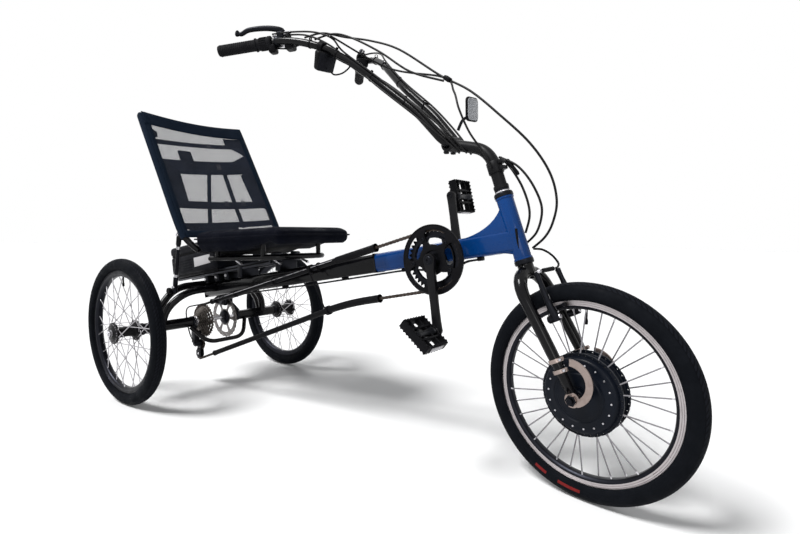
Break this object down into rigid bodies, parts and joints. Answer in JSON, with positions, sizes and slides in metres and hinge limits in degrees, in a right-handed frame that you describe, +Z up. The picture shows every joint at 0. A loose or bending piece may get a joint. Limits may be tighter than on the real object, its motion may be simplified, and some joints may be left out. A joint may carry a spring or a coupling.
{
  "type": "recumbent trike",
  "caption": "Delta recumbent trike: sloping boom, mesh-backed seat, three spoked wheels, hub motor in front, long swept-back handlebar, crank drive to the rear axle.",
  "frame": {"origin": "on the ground, in the middle of the trike's box", "axes": "+X forward, +Y to the rider's left, +Z up"},
  "size_m": [1.9442, 0.8, 1.2524],
  "materials": {
    "blue_paint": "gloss",
    "black_paint": "gloss",
    "black_metal": "satin",
    "black_plastic": "moulded",
    "battery_case": "matt",
    "seat_cover": "woven",
    "seat_mesh": "open weave",
    "tyre": "matt",
    "silver_rim": "machined",
    "black_rim": "satin",
    "spoke_steel": "drawn wire",
    "motor_case": "satin",
    "chain_steel": "oiled",
    "bright_steel": "plated",
    "grip_rubber": "matt",
    "reflector_lens": "clear prismatic",
    "cable_cover": "gloss"
  },
  "bodies": {
    "frame": {"front_boom": "blue_paint", "rear_boom": "black_paint", "rear_hoops": "black_paint", "axle_tubes": "black_paint", "headset": "black_metal", "bottom_bracket": "black_metal", "seat_base_frame": "black_paint", "seat_pad": "seat_cover", "seat_back_frame": "black_paint", "seat_back_mesh": "seat_mesh", "seat_struts": "black_metal", "seat_rail": "bright_steel", "battery_box": "battery_case", "chain": "chain_steel", "chain_tubes": "black_plastic", "chain_hanger": "bright_steel", "derailleur": "black_metal", "rear_brake_caliper": "black_metal", "boom_cables": "cable_cover"},
    "steering": {"fork": "black_paint", "stem": "black_metal", "handlebar": "black_paint", "right_grip": "grip_rubber", "left_grip": "grip_rubber", "right_brake_lever": "black_metal", "left_brake_lever": "black_metal", "display": "black_plastic", "front_reflector": "reflector_lens", "front_brake": "black_metal", "front_axle": "bright_steel", "bar_cables": "cable_cover", "loop_cables": "cable_cover"},
    "front_wheel": {"front_tyre": "tyre", "front_rim": "silver_rim", "front_spokes": "spoke_steel", "hub_motor": "motor_case"},
    "right_wheel": {"right_tyre": "tyre", "right_rim": "black_rim", "right_spokes": "spoke_steel", "right_hub": "black_metal", "drive_shaft": "bright_steel", "brake_rotor": "bright_steel"},
    "left_wheel": {"left_tyre": "tyre", "left_rim": "black_rim", "left_spokes": "spoke_steel", "left_hub": "black_metal"},
    "cassette": {"cassette": "chain_steel"},
    "cranks": {"chainring": "black_metal", "right_crank": "black_metal", "left_crank": "black_metal"},
    "right_pedal": {"right_pedal": "black_plastic"},
    "left_pedal": {"left_pedal": "black_plastic"}
  },
  "joints": [
    {"name": "steering_turn", "type": "hinge", "parent": "frame", "child": "steering", "pos_m": [0.763, 0, 0], "axis": [-0.342, 0, 0.9397], "range_deg": [-26.6, 43.4], "deforming": ["loop_cables"]},
    {"name": "front_wheel_spin", "type": "hinge", "parent": "steering", "child": "front_wheel", "pos_m": [0.7245, -0.00727, 0.24982], "axis": [0.1373, 0.9893, 0.05], "continuous": true},
    {"name": "right_wheel_spin", "type": "hinge", "parent": "frame", "child": "right_wheel", "pos_m": [-0.722, -0.344, 0.25], "axis": [0, 1, 0], "continuous": true},
    {"name": "left_wheel_spin", "type": "hinge", "parent": "frame", "child": "left_wheel", "pos_m": [-0.722, 0.344, 0.25], "axis": [0, 1, 0], "continuous": true},
    {"name": "crank_turn", "type": "hinge", "parent": "frame", "child": "cranks", "pos_m": [0.344, 0, 0.533], "axis": [0, 1, 0], "continuous": true},
    {"name": "cassette_turn", "type": "hinge", "parent": "frame", "child": "cassette", "pos_m": [-0.722, -0.05, 0.25], "axis": [0, 1, 0], "continuous": true},
    {"name": "right_pedal_spin", "type": "hinge", "parent": "cranks", "child": "right_pedal", "pos_m": [0.38404, -0.1, 0.35956], "axis": [0, 1, 0], "continuous": true},
    {"name": "left_pedal_spin", "type": "hinge", "parent": "cranks", "child": "left_pedal", "pos_m": [0.30396, 0.1, 0.70644], "axis": [0, 1, 0], "continuous": true}
  ],
  "couplings": [
    {"joint": "cassette_turn", "follows": "crank_turn", "ratio": 1.3478}
  ]
}
